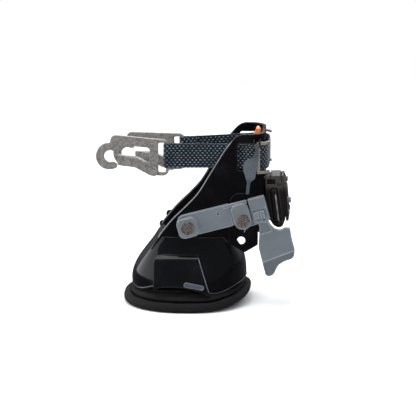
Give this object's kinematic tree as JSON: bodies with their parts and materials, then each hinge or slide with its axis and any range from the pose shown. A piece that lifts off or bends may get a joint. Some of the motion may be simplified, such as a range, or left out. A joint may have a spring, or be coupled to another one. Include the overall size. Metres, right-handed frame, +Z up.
{
  "type": "strap-on climbing spur shell unit",
  "caption": "Black moulded upright shell on a domed foot and foam pad, with a webbing strap ending in snap hooks, a sprung guard lever and a rear catch housing.",
  "frame": {"origin": "middle of the bounding box in plan, on the ground under the foam pad", "axes": "+X towards the closed back of the shell, +Y to the far wall, +Z up"},
  "size_m": [0.2036, 0.143, 0.1785],
  "materials": {
    "black_shell": "moulded gloss black",
    "black_housing": "moulded satin black",
    "grey_guard": "moulded blue-grey, satin",
    "pad_foam": "charcoal knitted cover over foam",
    "webbing": "navy woven webbing",
    "hook_steel": "tumbled stamped steel",
    "screw_steel": "turned steel, browned",
    "keeper_steel": "bent steel",
    "spring_steel": "spring wire",
    "orange_plastic": "moulded orange",
    "tab_rubber": "moulded blue-grey rubber",
    "tag_grey": "moulded grey"
  },
  "bodies": {
    "shell": {"upper_shell": "black_shell", "lower_shell": "black_shell", "side_block_near": "black_shell", "side_block_far": "black_shell", "size_tag": "tag_grey", "foam_pad": "pad_foam", "inner_cushion": "pad_foam", "backing_plate": "black_housing", "backing_posts": "black_housing", "post_screws": "screw_steel", "arm_link": "grey_guard", "arm_screws": "screw_steel", "pivot_bushing": "screw_steel", "front_spacer": "black_housing", "screw_nuts": "screw_steel", "lever_spring": "spring_steel", "flange_plate_near": "black_shell", "flange_plate_far": "black_shell", "far_bracket": "black_shell", "far_screws": "screw_steel", "housing_body": "black_housing", "housing_cover": "black_housing", "housing_tube": "black_housing", "latch_bar": "black_housing", "cover_screws": "screw_steel", "catch_spring": "spring_steel", "housing_bolts": "screw_steel", "strap_saddle": "webbing", "keeper_near": "keeper_steel", "keeper_far": "keeper_steel", "keeper_pins": "keeper_steel", "pull_tab_pin": "keeper_steel", "tab_lugs": "black_shell", "button_guide": "black_housing", "button_spring": "spring_steel"},
    "lever": {"guard_lever": "grey_guard", "slider_spring": "spring_steel"},
    "slider": {"lock_slider": "grey_guard"},
    "near_strap": {"strap_end_near": "webbing"},
    "far_strap": {"strap_end_far": "webbing"},
    "near_hook": {"hook_near": "hook_steel", "gate_rivet_near": "hook_steel", "gate_spring_near": "spring_steel"},
    "far_hook": {"hook_far": "hook_steel", "gate_rivet_far": "hook_steel", "gate_spring_far": "spring_steel"},
    "near_gate": {"gate_near": "hook_steel"},
    "far_gate": {"gate_far": "hook_steel"},
    "tab": {"pull_tab": "tab_rubber"},
    "button": {"release_button": "orange_plastic"},
    "catch": {"catch_pin": "grey_guard"}
  },
  "joints": [
    {"name": "guard_lever_swing", "type": "hinge", "parent": "shell", "child": "lever", "pos_m": [0.04901, -0.039, 0.0914], "axis": [0, 1, 0], "range_deg": [0, 20], "stiffness_Nm_per_rad": 0.25, "springref_deg": -14.32},
    {"name": "lock_slide", "type": "slide", "parent": "lever", "child": "slider", "axis": [-0.9659, 0, -0.2588], "range_m": [0, 0.0024], "stiffness_N_per_m": 300, "springref_m": -0.002},
    {"name": "near_strap_bend", "type": "hinge", "parent": "shell", "child": "near_strap", "pos_m": [0.01031, -0.026, 0.155], "axis": [0, 0, 1], "range_deg": [-3, 20], "stiffness_Nm_per_rad": 0.05},
    {"name": "far_strap_bend", "type": "hinge", "parent": "shell", "child": "far_strap", "pos_m": [0.01039, 0.026, 0.15261], "axis": [0.0663, 0, -0.9978], "range_deg": [-3, 20], "stiffness_Nm_per_rad": 0.05},
    {"name": "near_hook_swing", "type": "hinge", "parent": "near_strap", "child": "near_hook", "pos_m": [-0.02869, -0.026, 0.155], "axis": [0, 0, 1], "range_deg": [-10, 30]},
    {"name": "far_hook_swing", "type": "hinge", "parent": "far_strap", "child": "far_hook", "pos_m": [-0.01485, 0.026, 0.15094], "axis": [0.0663, 0, -0.9978], "range_deg": [-10, 30]},
    {"name": "near_gate_swing", "type": "hinge", "parent": "near_hook", "child": "near_gate", "pos_m": [-0.04249, -0.026, 0.1378], "axis": [0, 1, 0], "range_deg": [0, 14], "stiffness_Nm_per_rad": 0.06, "springref_deg": -20.05},
    {"name": "far_gate_swing", "type": "hinge", "parent": "far_hook", "child": "far_gate", "pos_m": [-0.02748, 0.026, 0.13286], "axis": [0, 1, 0], "range_deg": [0, 14], "stiffness_Nm_per_rad": 0.06, "springref_deg": -20.05},
    {"name": "pull_tab_swing", "type": "hinge", "parent": "shell", "child": "tab", "pos_m": [0.06231, -0.0382, 0.1686], "axis": [-1, 0, 0], "range_deg": [0, 60]},
    {"name": "release_press", "type": "slide", "parent": "shell", "child": "button", "axis": [0, 0, -1], "range_m": [0, 0.004], "stiffness_N_per_m": 300, "springref_m": -0.003},
    {"name": "catch_press", "type": "slide", "parent": "shell", "child": "catch", "axis": [-1, 0, 0], "range_m": [0, 0.0025], "stiffness_N_per_m": 400, "springref_m": -0.002}
  ]
}
